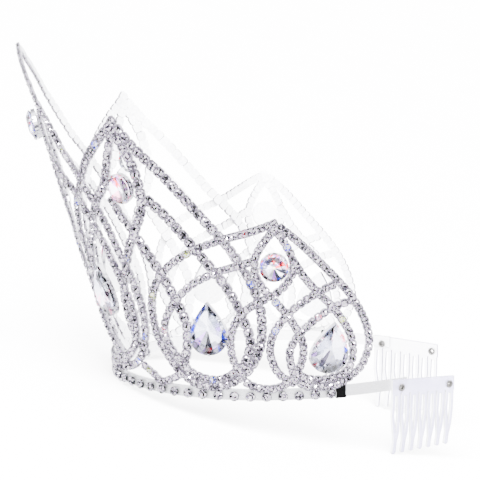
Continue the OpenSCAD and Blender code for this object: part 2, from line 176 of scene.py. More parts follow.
bm = bmesh.new()
bmesh.ops.create_grid(bm, x_segments=4, y_segments=4, size=TABLE_REACH)
table_mesh = bpy.data.meshes.new("table")
bm.to_mesh(table_mesh)
bm.free()
table = put_in_scene("table", table_mesh)
table_white, tree, shader = finish_of("table_white", Roughness=0.75, Specular_IOR_Level=0.1)
coloured(tree, shader, noise_factor(tree, 3, 2), [(0.3, (0.9, 0.9, 0.9)), (0.7, (0.92, 0.92, 0.92))])
table_mesh.materials.append(table_white)
table.visible_glossy = False

# The strip. A flat band of springy steel, bent to the oval of the head, that everything else is
# soldered or riveted to. It is polished along its length outside, and left matt inside. Its own
# shape comes from the frame.
def facing_out(tree, within, without):
    """A value for what faces the head, and another for what faces away from it.

    The origin lies inside the oval, so place and normal point opposite ways on an inner face.
    """
    place = tree.nodes.new("ShaderNodeTexCoord")
    facing = tree.nodes.new("ShaderNodeVectorMath")
    facing.operation = "DOT_PRODUCT"
    tree.links.new(place.outputs["Object"], facing.inputs[0])
    tree.links.new(place.outputs["Normal"], facing.inputs[1])
    side = tree.nodes.new("ShaderNodeMapRange")
    side.inputs["From Min"].default_value = -0.03
    side.inputs["From Max"].default_value = -0.01
    side.inputs["To Min"].default_value = within
    side.inputs["To Max"].default_value = without
    tree.links.new(facing.outputs["Value"], side.inputs["Value"])
    return side.outputs["Result"]


def roughened(tree, shader, factor, low, high):
    """Carries a shader's roughness from low to high along a factor."""
    carried = tree.nodes.new("ShaderNodeMapRange")
    carried.inputs["To Min"].default_value = low
    carried.inputs["To Max"].default_value = high
    tree.links.new(factor, carried.inputs["Value"])
    tree.links.new(carried.outputs["Result"], shader.inputs["Roughness"])


def relief(tree, shader, height, distance, strength=1.0):
    """Fine relief on the shader, from a height pattern."""
    bump = tree.nodes.new("ShaderNodeBump")
    bump.inputs["Strength"].default_value = strength
    bump.inputs["Distance"].default_value = distance
    tree.links.new(height, bump.inputs["Height"])
    tree.links.new(bump.outputs["Normal"], shader.inputs["Normal"])


strip_metal, tree, shader = finish_of("strip_metal")
grain = noise_factor(tree, 900, 4, (0.15, 0.15, 6))
coloured(tree, shader, grain, [(0.3, (0.54, 0.54, 0.56)), (0.7, (0.68, 0.68, 0.7))])
roughened(tree, shader, grain, 0.2, 0.38)
relief(tree, shader, grain, 0.00002, 0.5)
tree.links.new(facing_out(tree, 0.1, 0.85), shader.inputs["Metallic"])
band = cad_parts["band"]
band.data.materials.clear()
band.data.materials.append(strip_metal)

# The stone chain. Each link is a stamped and plated cup with four claws pressed over a small cut
# stone, joined to the next by a strip of its metal. Chains are bent to the surface of the lattice,
# which stands on the strip's oval and leans outward.

# Places on the crown are in millimetres, before it is tipped on to its front studs: s along the
# strip from the front centre, and z in height above it. ARCS holds the radius and turn of each arc
# of the strip from the front, and LEAN the lean of the lattice at places along the strip.
MM = 0.001
ARCS = [(58, 24), (76, 68), (110, 20), (240, 22)]
FRONT_DEPTH = 51
LEAN = [(0, 0.285), (15, 0.288), (27, 0.258), (51, 0.214), (87, 0.01), (115, 0.235), (147, 0.14),
        (175, 0.1)]
TIPPED_BY = 13.2749
SET_BACK = 8
RAISED_BY = 14.6896
STANDING = (
    Matrix.Scale(MM, 4)
    @ Matrix.Translation((0, SET_BACK, RAISED_BY))
    @ Matrix.Rotation(math.radians(TIPPED_BY), 4, "X")
)


def plan(s):
    """Position and heading on the strip's oval."""
    x, y, heading, left = 0.0, -FRONT_DEPTH, 0.0, abs(s)
    for radius, turn in ARCS:
        length = radius * math.radians(turn)
        step = left if (radius, turn) == ARCS[-1] else min(left, length)
        after = heading + step / radius
        x += radius * (math.sin(after) - math.sin(heading))
        y += radius * (math.cos(heading) - math.cos(after))
        heading, left = after, left - step
        if left <= 0:
            break
    return (-x, y, -heading) if s < 0 else (x, y, heading)


def lean(s):
    """How far the lattice leans out for each millimetre of height."""
    for (near, near_lean), (far, far_lean) in zip(LEAN, LEAN[1:]):
        if s <= far:
            t = (s - near) / (far - near)
            return near_lean + (far_lean - near_lean) * t * t * (3 - 2 * t)
    return LEAN[-1][1]


def surface_point(s, z):
    """A point of the lattice's surface."""
    x, y, heading = plan(s)
    out = lean(abs(s)) * max(z, 0)
    return Vector((x + math.sin(heading) * out, y - math.cos(heading) * out, z))


def outward(s, z):
    """The direction that the lattice's surface faces."""
    along = surface_point(s + 0.5, z) - surface_point(s - 0.5, z)
    up = surface_point(s, z + 0.5) - surface_point(s, z - 0.5)
    return along.cross(up).normalized()


def seat(s, z, out, turn=0):
    """A place on the lattice, with X along the strip, Y up and Z outward."""
    normal = outward(s, z)
    along = (surface_point(s + 0.5, z) - surface_point(s - 0.5, z)).normalized()
    spot = Matrix((along, normal.cross(along), normal)).transposed().to_4x4()
    spot.translation = surface_point(s, z) + normal * out
    return spot @ Matrix.Rotation(math.radians(turn), 4, "Z")


def piece(name, bm, materials, node, smooth=None):
    """Makes a finished piece of the crown, which stands for a node of the frame."""
    bmesh.ops.transform(bm, matrix=STANDING, verts=bm.verts)
    mesh = bpy.data.meshes.new(name)
    bm.to_mesh(mesh)
    bm.free()
    for material in materials:
        mesh.materials.append(material)
    if smooth is not None:
        mesh.shade_smooth()
        mesh.set_sharp_from_angle(angle=math.radians(smooth))
    made = put_in_scene(name, mesh)
    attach(made, "root")
    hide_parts(node)
    return made


def small_mesh(name, bm):
    """Keeps a bmesh as a mesh to copy from."""
    mesh = bpy.data.meshes.new(name)
    bm.to_mesh(mesh)
    bm.free()
    return mesh


def add_copy(bm, mesh, matrix):
    """Adds a copy of a small mesh to a piece in the making."""
    copy = mesh.copy()
    copy.transform(matrix)
    bm.from_mesh(copy)
    bpy.data.meshes.remove(copy)


def coloured_by_facet(tree, shader, factor, stops):
    """Gives a shader the tone that each facet carries, painted shade, light and reflections among them,
    times the colours along a factor.
    """
    facet = tree.nodes.new("ShaderNodeAttribute")
    facet.attribute_name = "facet"
    product = tree.nodes.new("ShaderNodeMix")
    product.data_type = "RGBA"
    product.blend_type = "MULTIPLY"
    product.inputs["Factor"].default_value = 1
    tree.links.new(facet.outputs["Color"], product.inputs[6])
    tree.links.new(tones(tree, factor, stops), product.inputs[7])
    tree.links.new(product.outputs[2], shader.inputs["Base Color"])


plated, tree, shader = finish_of("plated_cup", Metallic=1.0)
wear = noise_factor(tree, 1500, 3)
coloured_by_facet(tree, shader, wear, [(0.3, (0.62, 0.61, 0.65)), (0.65, (0.93, 0.92, 0.96))])
roughened(tree, shader, wear, 0.1, 0.28)

# The chain's stones are mirror-like metal whose facet tones are painted reflections.
chain_stone, tree, shader = finish_of("chain_stone", Metallic=1.0, Coat_Weight=0.6, Coat_Roughness=0.02)
inside = noise_factor(tree, 2500, 1)
coloured_by_facet(tree, shader, inside, [(0.35, (0.7, 0.68, 0.74)), (0.6, (1.0, 0.98, 1.0))])
roughened(tree, shader, inside, 0.02, 0.1)

satin, tree, shader = finish_of("satin_back", Metallic=0.3, Roughness=0.38)
brush = noise_factor(tree, 900, 3)
coloured(tree, shader, brush, [(0.3, (0.64, 0.64, 0.66)), (0.7, (0.84, 0.84, 0.86))])
relief(tree, shader, brush, 0.00003, 0.3)

# The reflections that break foiled glass up into nearly black and nearly white facets are painted into
# each facet's tone, drawn from rows of a share and a colour. A few stones get painted flashes of blue,
# rose or yellow-green.
CLEAR_REFLECTION_TONES = [(0.33, (0.008, 0.006, 0.01)), (0.09, (0.15, 0.12, 0.17)), (0.12, (0.58, 0.5, 0.64)),
               (0.46, (1.0, 0.95, 1.0))]
FLASH_TONES = [
    [(0.35, (0.1, 0.13, 0.95)), (0.3, (0.45, 0.45, 1.0)), (0.35, (1.0, 1.0, 1.0))],
    [(0.35, (0.95, 0.25, 0.32)), (0.3, (0.9, 0.6, 0.95)), (0.35, (1.0, 1.0, 1.0))],
    [(0.35, (0.55, 0.7, 0.08)), (0.3, (0.85, 0.9, 0.5)), (0.35, (1.0, 1.0, 1.0))],
]
FLASHING_SHARE = 0.045
CUP_BACK = -1.2
CUP_RIM = 0.25
CUP_SHARE_OF_PITCH = 0.99
CUP_CORNER = 0.17
CUP_TAPER = 0.98
LINK_STONE = [(0.46, 0.2, 8, 0.5), (0.33, 0.72, 8, 0), (0.14, 1.1, 4, 0.5)]
# Painted shade on the cups and in the notches between them, and painted light on their back edges.
CUP_PAINTED_SHADE = (0.36, 0.33, 0.38)
NOTCH_PAINTED_SHADE = (0.01, 0.01, 0.012)
BACK_EDGE_PAINTED_LIGHT = (1.0, 0.98, 1.0)
CLAW_TONE = (1.0, 0.99, 1.0)
LINK_TILT = 3


def paint(faces, layer, tone):
    """Gives faces one tone."""
    for face in faces:
        for loop in face.loops:
            loop[layer] = (*tone, 1)


def paint_facets(faces, layer, palette, shake):
    """Gives each facet a tone drawn from rows of a share and a colour; on the stones these tones are
    painted reflections.
    """
    shares, colours = zip(*palette)
    for face in faces:
        paint([face], layer, shake.choices(colours, shares)[0])


def cut_points(bm, rings, size=1):
    """The corners of a round cut stone, from rows of a radius, a height, a count and a turn."""
    points = []
    for radius, z, count, turn in rings:
        for k in range(count):
            angle = 2 * math.pi / count * (k + turn)
            x, y = size * radius * math.cos(angle), size * radius * math.sin(angle)
            points.append(bm.verts.new((x, y, z)))
    return points


def four_claws(bm, out, z, foot_r, tip_r, length, lean_in, sides):
    """Four claws round a cup, leaning in over its stone."""
    for k in range(4):
        bmesh.ops.create_cone(
            bm, cap_ends=True, segments=sides, radius1=foot_r, radius2=tip_r, depth=length,
            matrix=Matrix.Rotation(math.radians(45 + 90 * k), 4, "Z")
            @ Matrix.Translation((out, 0, z))
            @ Matrix.Rotation(math.radians(-lean_in), 4, "Y"),
        )


def chain_link(width, pitch, palette, shake):
    """One link: cup, claws, stone and joining strip, lying along X with its stone facing Z."""
    bm = bmesh.new()
    tone = bm.loops.layers.float_color.new("facet")
    middle = Matrix.Translation((0, 0, (CUP_RIM + CUP_BACK) / 2))
    block = Matrix.Diagonal((pitch * CUP_SHARE_OF_PITCH, width, CUP_RIM - CUP_BACK, 1))
    bmesh.ops.create_cube(bm, size=1, matrix=middle @ block)
    corners = [edge for edge in bm.edges if abs(edge.verts[0].co.z - edge.verts[1].co.z) > 0.5]
    bmesh.ops.bevel(
        bm, geom=corners, offset=width * CUP_CORNER, segments=1, profile=0.5, affect="EDGES", material=-1,
    )
    back_edge = [corner for corner in bm.verts if corner.co.z < 0]
    for corner in back_edge:
        corner.co.xy *= CUP_TAPER
    # The cup gets a painted shade, the notches at the joints with the next cups a near-black painted
    # shade, and its back edge a painted light.
    bm.normal_update()
    notches = [face for face in bm.faces if min(abs(face.normal.x), abs(face.normal.y)) > 0.3]
    paint(bm.faces, tone, CUP_PAINTED_SHADE)
    paint(notches, tone, NOTCH_PAINTED_SHADE)
    for corner in back_edge:
        for loop in corner.link_loops:
            loop[tone] = (*BACK_EDGE_PAINTED_LIGHT, 1)
    for face in bm.faces:
        face.material_index = 2 if face.calc_center_median().z < CUP_BACK + 0.01 else 0
    cup = set(bm.faces)
    four_claws(bm, width * 0.45, 0.3, foot_r=0.46, tip_r=0.3, length=1.5, lean_in=18, sides=3)
    bar = Matrix.Translation((pitch / 2, 0, -0.5)) @ Matrix.Diagonal((pitch * 0.3, width * 0.45, 0.5, 1))
    bmesh.ops.create_cube(bm, size=1, matrix=bar)
    metal = set(bm.faces)
    paint(metal - cup, tone, CLAW_TONE)
    points = cut_points(bm, LINK_STONE, width)
    bmesh.ops.convex_hull(bm, input=points)
    hull_edges = [edge for edge in bm.edges if edge.verts[0] in points]
    bmesh.ops.dissolve_limit(bm, angle_limit=0.02, verts=points, edges=hull_edges)
    stone = [face for face in bm.faces if face not in metal]
    for face in stone:
        face.material_index = 1
    paint_facets(stone, tone, palette, shake)
    bmesh.ops.recalc_face_normals(bm, faces=bm.faces)
    return small_mesh("link", bm)


def chain_links(width, pitch, shake):
    """Links to pick from: ten clear ones, and three that flash a colour."""
    clear = [chain_link(width, pitch, CLEAR_REFLECTION_TONES, shake) for _ in range(10)]
    return clear, [chain_link(width, pitch, palette, shake) for palette in FLASH_TONES]


def smooth_path(path, steps=14):
    """Points of a smooth curve through the control points, in place along the strip and height."""
    before = [2 * path[0][k] - path[1][k] for k in (0, 1)]
    beyond = [2 * path[-1][k] - path[-2][k] for k in (0, 1)]
    knots = [before, *path, beyond]
    curve = []
    for a, b, c, d in zip(knots, knots[1:], knots[2:], knots[3:]):
        for n in range(steps):
            t = n / steps
            curve.append([
                (2 * b[k] + (c[k] - a[k]) * t + (2 * a[k] - 5 * b[k] + 4 * c[k] - d[k]) * t * t
                 + (3 * b[k] - a[k] - 3 * c[k] + d[k]) * t ** 3) / 2
                for k in (0, 1)
            ])
    return curve + [path[-1]]


# The lowest rows hang lower than their paths, from SINK_TOP down, and those at the strip lie over its
# front, from STRIP_TOP down. The crest's tip is drawn down a little.
SINK_TOP, SINK_SPAN, SINK = 19, 9, 1.2
DEEPER_FROM, DEEPER_SPAN, DEEPER = 5, 3, 0.5
STRIP_TOP, STRIP_SPAN = 8, 2.5
CREST_FROM, CREST_SINK = 150, 0.11


def clamped(share):
    """A share kept between 0 and 1."""
    return min(max(share, 0), 1)


def chain_point(s, z, out, over_strip):
    """Where the middle of a chain lies for a point of its path."""
    low = clamped((SINK_TOP - z) / SINK_SPAN)
    drop = (SINK + DEEPER * clamped((z - DEEPER_FROM) / DEEPER_SPAN)) * low * low * (3 - 2 * low)
    drop += CREST_SINK * max(z - CREST_FROM, 0)
    out += over_strip * clamped((STRIP_TOP - z) / STRIP_SPAN)
    return surface_point(s, z - drop) + outward(s, z) * out


def tilted(shake, spread):
    """A small random tilt, as pieces set by hand have."""
    across = Matrix.Rotation(math.radians(shake.gauss(0, spread)), 4, "X")
    return across @ Matrix.Rotation(math.radians(shake.gauss(0, spread)), 4, "Y")


def lay_chain(bm, links, path, pitch, out, over_strip, end_gap, laid, shake):
    """Lays links along a path, leaving out those that would lie on one that is already there."""
    clear, flashing = links
    curve = smooth_path(path)
    points = [chain_point(s, z, out, over_strip) for s, z in curve]
    run = [0.0]
    for a, b in zip(points, points[1:]):
        run.append(run[-1] + (b - a).length)
    count = max(1, round(run[-1] / pitch))
    i = 0
    for k in range(count + 1):
        reach = pitch * end_gap + (run[-1] - pitch * end_gap * 2) * k / count
        while i < len(run) - 2 and run[i + 1] < reach:
            i += 1
        t = (reach - run[i]) / (run[i + 1] - run[i])
        spot = points[i].lerp(points[i + 1], t)
        if any((spot - other).length < pitch * 0.3 for other in laid):
            continue
        laid.append(spot)
        normal = outward(*curve[i])
        across = normal.cross(points[i + 1] - points[i]).normalized()
        lie = Matrix((across.cross(normal), across, normal)).transposed().to_4x4()
        lie.translation = spot
        tilt = tilted(shake, LINK_TILT)
        link = shake.choice(flashing if shake.random() < FLASHING_SHARE else clear)
        add_copy(bm, link, lie @ tilt)


def panel(name, node, links, paths, pitch, out, shake, over_strip=1.75, end_gap=0.1):
    """A panel of the lattice: chains laid along its paths, and soldered where they cross."""
    bm = bmesh.new()
    bm.loops.layers.float_color.new("facet")
    laid = []
    for path in paths:
        lay_chain(bm, links, path, pitch, out, over_strip, end_gap, laid, shake)
    piece(name, bm, [plated, chain_stone, satin], node)


def mirrored(path):
    """A path on the other side of the crown."""
    return [[-s, z] for s, z in path]


shake = random.Random(4)

# The centre panel: two pointed arches one inside the other, soldered to the front of the strip, and
# two stems that cross and close in a leaf below the inner arch's point.
CENTRE_OUTLINE = [[0, 163], [5.5, 157.5], [12, 147], [18, 131], [23.5, 114], [30, 102.5], [36, 90.5],
    [41, 77], [45, 64], [49.5, 53], [52, 41], [51.8, 30], [48.5, 19.5], [42, 12.5], [31, 8.2], [16, 5.8],
    [0, 5.2]]
CENTRE_ARCH = [[0, 129], [6, 122], [12, 113], [17.5, 103], [23.5, 94], [29, 86], [33.5, 76.5], [37.5, 66],
    [41, 54.5], [44.5, 44], [46, 33], [44, 23.5], [39, 16.6], [30, 12.3], [16, 9.6], [0, 9]]
CENTRE_LEAF = [[-0.9, 127.6], [4.5, 118.5], [7.5, 107], [7.3, 94], [4.2, 83], [-0.9, 74.5]]
CENTRE_STEM = [[-0.8, 76], [5, 68.5], [9.5, 61], [13, 52], [14.8, 43], [14.6, 34], [16.5, 25.5],
    [22, 17.5], [33, 9.4]]
CENTRE_CHAIN_W = 4.2
CENTRE_PITCH = 4.1
CENTRE_OUT = -0.2
CENTRE_OVER_STRIP = 0.9


def round_trip(path):
    """A path from the centre line, carried round to the other side."""
    return path + mirrored(path[-2::-1])


centre_links = chain_links(CENTRE_CHAIN_W, CENTRE_PITCH, shake)
centre_paths = [round_trip(CENTRE_OUTLINE), round_trip(CENTRE_ARCH), CENTRE_LEAF, mirrored(CENTRE_LEAF),
                CENTRE_STEM, mirrored(CENTRE_STEM)]
panel("centre_panel", "centre_chains", centre_links, centre_paths, CENTRE_PITCH, CENTRE_OUT, shake,
      CENTRE_OVER_STRIP, end_gap=0)

# The side peaks: a pointed arch on each side with a leaf inside it whose stems cross, and two long
# sweeps. They are of a larger chain, and are soldered behind the panels beside them.
PEAK_PATHS = [
    [[52, 130.6], [44, 121.2], [34.5, 109.2], [25.5, 96.5], [18.5, 84], [13.5, 72], [9, 60], [5.5, 48],
     [4, 36], [5.5, 23], [10, 13.5], [16, 8]],
    [[52, 130.6], [59, 118.6], [66.5, 107.2], [74, 95], [82, 83.4], [91, 72], [98, 63.5], [103.5, 54],
     [107.3, 44.5], [108.7, 34], [108.2, 25], [105.5, 17], [100, 11], [94, 8]],
    [[51.2, 126.2], [47.5, 117.2], [45, 109], [42.5, 101], [39.5, 95.5], [35, 90], [30.5, 82.5],
     [25.5, 74], [21, 65], [17, 56], [13.5, 46.5], [11.5, 37], [11.8, 28], [15, 19], [20, 12.5]],
    [[51.2, 126.2], [55, 117.8], [57.6, 110], [59, 101], [59.3, 92], [57.5, 84.5], [53.5, 77], [49, 70],
     [45.5, 62], [41.8, 53], [39, 45], [37.9, 37], [38.5, 29], [41.5, 21.5], [46, 16]],
    [[59.3, 96], [67, 86.3], [74, 75.5], [81.7, 64.3], [90, 53], [96.5, 43], [102.5, 29], [102.8, 22],
     [100.5, 15.5], [96, 10.5]],
    [[43.9, 91.3], [47.5, 83.5], [54, 74.5], [60, 63.5], [65.5, 51.5], [72, 34.5], [72.4, 27],
     [71.6, 20], [69.5, 13.5]],
]
PEAK_CHAIN_W = 4.8
PEAK_PITCH = 4.7
PEAK_OUT = -2.8
peak_links = chain_links(PEAK_CHAIN_W, PEAK_PITCH, shake)
for side in ("left", "right"):
    paths = [mirrored(path) for path in PEAK_PATHS] if side == "left" else PEAK_PATHS
    panel("peak_" + side, "peak_chains_" + side, peak_links, paths, PEAK_PITCH, PEAK_OUT, shake)

# The side loops: two heart-like loops that meet in a point over the round stone, with arches, petals
# and crossing stems inside them, and a swag on each side. They are of the finest chain.
LOOP_PATHS = [
    [[114.5, 85.5], [102.5, 79.5], [90, 74.5], [78, 69.6], [68, 62.5], [61, 52.5], [57.6, 40], [58, 28],
     [61.5, 18.7], [67, 12], [74.5, 7], [84, 5], [92.5, 6.2], [99, 10]],
    [[114.5, 85.5], [124, 76.4], [133.5, 66.2], [144, 55], [152.5, 44.5], [158.7, 34], [161.7, 24],
     [160.2, 16.5], [156.5, 11.5], [149, 7], [140, 5], [131, 5.6], [124.5, 9]],
    [[105.8, 66.5], [95.5, 62], [85.5, 58], [76, 52.5], [68, 43.5], [63, 33.5], [62.6, 26], [65.6, 19.3],
     [70.6, 13.8], [77.5, 9.9], [86, 8.5], [92.3, 10.2], [98, 14]],
    [[123.3, 65.5], [127.5, 58.5], [134, 50.5], [141, 43.3], [147.5, 34.5], [151.4, 27.5], [153.1, 20.5],
     [152.4, 14.3], [148, 10.3], [140, 8.4], [131.5, 9.1], [126, 12.2]],
    [[114.5, 83], [109.8, 75.5], [106.6, 68], [106.4, 61], [109, 54.8], [113, 49.5]],
    [[114.5, 83], [119, 75], [122.1, 67.5], [122.1, 60.5], [118.3, 54], [113, 49.5]],
    [[113, 49.5], [107, 46], [101.5, 41.5], [97, 35.5], [94.6, 29], [94.4, 22], [96, 16], [99.5, 12]],
    [[113, 49.5], [117.5, 44], [121.5, 38.5], [125.2, 32], [128, 25.5], [128.3, 19], [126.5, 13.5],
     [124, 9.5]],
    [[144.5, 54.5], [135, 50.7], [126, 45.2], [119, 38.6], [114.3, 30.5], [112.9, 22], [115, 15],
     [119, 10.5], [124, 7.5]],
    [[151, 45.3], [141.5, 42], [132, 36], [125.3, 29], [121.9, 21.5], [123.5, 13], [126, 10]],
    [[45.6, 10.9], [51.5, 8], [58, 5.2], [63, 6.8], [68.5, 10]],
    [[99, 9.5], [105, 6.3], [111.5, 5], [117.5, 5.9], [123.5, 9]],
]
LOOP_CHAIN_W = 4.0
LOOP_PITCH = 3.6
LOOP_OUT = -0.45
loop_links = chain_links(LOOP_CHAIN_W, LOOP_PITCH, shake)
for side in ("left", "right"):
    paths = [mirrored(path) for path in LOOP_PATHS] if side == "left" else LOOP_PATHS
    panel("loops_" + side, "loop_chains_" + side, loop_links, paths, LOOP_PITCH, LOOP_OUT, shake)

# The studs along the strip: single stones in round plated cups with four claws, soldered on one by
# one, nineteen to a side.
# The studs' stones carry painted reflections in their facets' tones, like the chain's.
STUD_REFLECTION_TONES = [(0.42, (0.008, 0.006, 0.01)), (0.1, (0.16, 0.13, 0.18)), (0.1, (0.6, 0.54, 0.68)),
              (0.38, (1.0, 0.96, 1.0))]
STUD_STONE = [(2.1, 1.3, 16, 0), (1.55, 1.85, 8, 0.5), (0.7, 2.2, 8, 0)]
# The studs' cups are painted near-black, a painted shade on their sides.
STUD_CUP_PAINTED_SHADE = (0.05, 0.05, 0.055)
STUD_CLAW_TONE = (0.85, 0.84, 0.87)
STUDS_A_SIDE = 19
STUD_PITCH = 7.68
STUD_FOOT_Z = -0.5
STUD_RISE = 0.3
STUD_OUT = 0.6
STUD_TILT = 2
STUD_TURN = 0.3


def stud(palette, shake):
    """One stud: a flared cup, four claws and a stone, with its back at height 0."""
    bm = bmesh.new()
    tone = bm.loops.layers.float_color.new("facet")
    bmesh.ops.create_cone(
        bm, cap_ends=True, segments=20, radius1=2.0, radius2=2.3, depth=1.25,
        matrix=Matrix.Translation((0, 0, 0.725)),
    )
    # The cup is painted near-black, a painted shade.
    paint(bm.faces, tone, STUD_CUP_PAINTED_SHADE)
    cup = set(bm.faces)
    four_claws(bm, 1.9, 1.3, foot_r=0.5, tip_r=0.32, length=1.6, lean_in=20, sides=6)
    metal = set(bm.faces)
    paint(metal - cup, tone, STUD_CLAW_TONE)
    bmesh.ops.convex_hull(bm, input=cut_points(bm, STUD_STONE))
    stone = [face for face in bm.faces if face not in metal]
    for face in stone:
        face.material_index = 1
    paint_facets(stone, tone, palette, shake)
    bmesh.ops.recalc_face_normals(bm, faces=bm.faces)
    return small_mesh("stud", bm)


studs = [stud(palette, shake) for palette in [STUD_REFLECTION_TONES] * 8 + FLASH_TONES[:2]]
bm = bmesh.new()
bm.loops.layers.float_color.new("facet")
for k in range(STUDS_A_SIDE):
    for s in ((k + 0.5) * STUD_PITCH, -(k + 0.5) * STUD_PITCH):
        upright = seat(s, STUD_FOOT_Z, STUD_OUT) @ Matrix.Translation((0, STUD_RISE, 0))
        tilt = tilted(shake, STUD_TILT)
        turned = Matrix.Rotation(shake.uniform(-STUD_TURN, STUD_TURN), 4, "Z")
        add_copy(bm, shake.choice(studs), upright @ tilt @ turned)
piece("studs", bm, [plated, chain_stone], "band_studs")

# The large stones: cut glass with a table, kite-shaped crown facets and a foiled pavilion, teardrops
# and rounds of stock sizes. Their dark patches and rainbow flashes are painted reflections in the tones
# of the foil's facets; the glass has only a faint tint.
crystal, tree, shader = finish_of("crystal", Roughness=0.0, IOR=1.6, Transmission_Weight=1.0)
glass_tint = [(0.35, (0.95, 0.96, 1.0)), (0.5, (1.0, 1.0, 1.0)), (0.65, (1.0, 0.98, 0.99))]
coloured(tree, shader, noise_factor(tree, 90, 2), glass_tint)
mirror_back, tree, shader = finish_of("stone_foil", Metallic=1.0)
silvering = noise_factor(tree, 300, 2)
coloured_by_facet(tree, shader, silvering, [(0.35, (0.88, 0.88, 0.92)), (0.65, (1.0, 1.0, 1.0))])
roughened(tree, shader, silvering, 0.06, 0.16)
# The foil's facets carry painted reflections: dark patches, pale middles and flashes of blue, rose and
# yellow-green.
PALE_REFLECTIONS = [(0.4, (0.62, 0.64, 0.72)), (0.3, (0.48, 0.5, 0.58)), (0.16, (0.36, 0.38, 0.46)),
              (0.05, (0.12, 0.11, 0.15)), (0.04, (0.8, 0.86, 0.6)), (0.05, (0.95, 0.7, 0.78))]
DEEP_REFLECTIONS = [(0.34, (0.95, 0.95, 1.0)), (0.2, (0.55, 0.55, 0.64)), (0.14, (0.02, 0.02, 0.03)),
              (0.12, (0.03, 0.05, 0.85)), (0.11, (0.9, 0.04, 0.08)), (0.09, (0.55, 0.3, 0.85))]
ROSE_REFLECTIONS = [(0.36, (0.98, 0.95, 1.0)), (0.34, (0.95, 0.04, 0.06)), (0.16, (0.7, 0.35, 0.85)),
              (0.14, (0.5, 0.47, 0.56))]
MILD_REFLECTIONS = [(0.5, (0.92, 0.92, 0.98)), (0.22, (0.66, 0.7, 0.97)), (0.12, (0.98, 0.45, 0.6)),
              (0.16, (0.55, 0.53, 0.64))]
CROWN_H = 2.4
PAVILION_H = 2.4
EDGE_H = 0.3
# Each ring of corners of a cut stone: its share of the outline, its height, its count and its turn.
CUT_RINGS = [
    (1, 0, 32, 0), (1, EDGE_H, 32, 0), (0.84, 0.55 * CROWN_H, 16, 0.5), (0.56, CROWN_H, 8, 0),
    (0.7, -0.6 * PAVILION_H, 16, 0.5), (0.1, -PAVILION_H, 8, 0),
]
# The foil's facets get pale painted reflections within this share of the width from the middle of a
# round or a teardrop.
ROUND_MIDDLE = 0.12
DROP_MIDDLE = 0.31
# The stones are wider and taller by this than their sizes, to reach the edge of their cups.
STONE_SPREAD = 1.0
TEARDROP_SWELL = 1.299


def outline_point(width, height, turn):
    """A point of a stone's outline: a circle, or a teardrop with its point up where it is taller."""
    t = math.radians(turn)
    if height > width:
        return width / 2 * TEARDROP_SWELL * math.sin(t) * math.sin(t / 2), height / 2 * math.cos(t)
    return width / 2 * math.sin(t), height / 2 * math.cos(t)


def outline_ring(bm, width, height, share, z, count, turn):
    """Points on a smaller or larger copy of the outline, at a height."""
    ring = []
    for k in range(count):
        x, y = outline_point(width, height, 360 * (k + turn) / count)
        ring.append(bm.verts.new((x * share, y * share, z)))
    return ring


def cut_crystal(width, height, place, above, below, shake):
    """A cut stone, with painted reflections for the foil of its outer facets above and below its middle.
    """
    bm = bmesh.new()
    tone = bm.loops.layers.float_color.new("facet")
    width, height = width + STONE_SPREAD, height + STONE_SPREAD
    points = []
    for share, z, count, turn in CUT_RINGS:
        points += outline_ring(bm, width, height, share, z, count, turn)
    bmesh.ops.convex_hull(bm, input=points)
    bmesh.ops.dissolve_limit(bm, angle_limit=0.02, verts=bm.verts, edges=bm.edges)
    bmesh.ops.recalc_face_normals(bm, faces=bm.faces)
    pale_radius = width * (ROUND_MIDDLE if height == width else DROP_MIDDLE)
    for face in bm.faces:
        centre = face.calc_center_median()
        outer_tones = above if centre.y > 0 else below
        face.material_index = 1 if face.normal.z < -0.05 else 0
        paint_facets([face], tone, outer_tones if centre.xy.length > pale_radius else PALE_REFLECTIONS, shake)
    bmesh.ops.transform(bm, matrix=place, verts=bm.verts)
    return bm


# The claw settings: a cup of plated sheet that follows the stone's outline, closed and mirror-bright
# within and satin behind, with slim claws pressed down over the edge of the stone.
foil, tree, shader = finish_of("bright_cup", Metallic=1.0)
sheen = noise_factor(tree, 400, 2)
coloured(tree, shader, sheen, [(0.35, (0.84, 0.85, 0.88)), (0.65, (0.95, 0.95, 0.96))])
roughened(tree, shader, sheen, 0.05, 0.14)
WALL = 0.4
GAP = 0.12
SETTING_RIM = -0.9
# A claw's side, as places out from the stone's edge and up.
CLAW_PROFILE = [(0.3, -1.7), (0.75, -1.7), (0.95, 0.6), (0.55, 1.25), (-0.4, 1.72), (-0.5, 1.3),
                (0.3, 0.75), (0.55, 0)]
CLAW_W = 0.8
CLAW_ROUNDING = 0.14
DROP_CLAWS = (70, 125, 180, 235, 290)
ROUND_CLAWS = (30, 90, 150, 210, 270, 330)


def extruded(bm, faces, by):
    """Extrudes faces along a vector, and returns the faces at the new end."""
    parts = bmesh.ops.extrude_face_region(bm, geom=faces)["geom"]
    corners = [part for part in parts if isinstance(part, bmesh.types.BMVert)]
    bmesh.ops.translate(bm, vec=by, verts=corners)
    return [part for part in parts if isinstance(part, bmesh.types.BMFace)]


def setting_claw():
    """One claw, standing outside the stone's edge at the origin and bent in over it."""
    bm = bmesh.new()
    side = bm.faces.new([bm.verts.new((r, -CLAW_W / 2, z)) for r, z in CLAW_PROFILE])
    extruded(bm, [side], (0, CLAW_W, 0))
    bmesh.ops.recalc_face_normals(bm, faces=bm.faces)
    bmesh.ops.bevel(
        bm, geom=bm.edges, offset=CLAW_ROUNDING, segments=2, profile=0.5, affect="EDGES", material=-1,
    )
    return small_mesh("claw", bm)


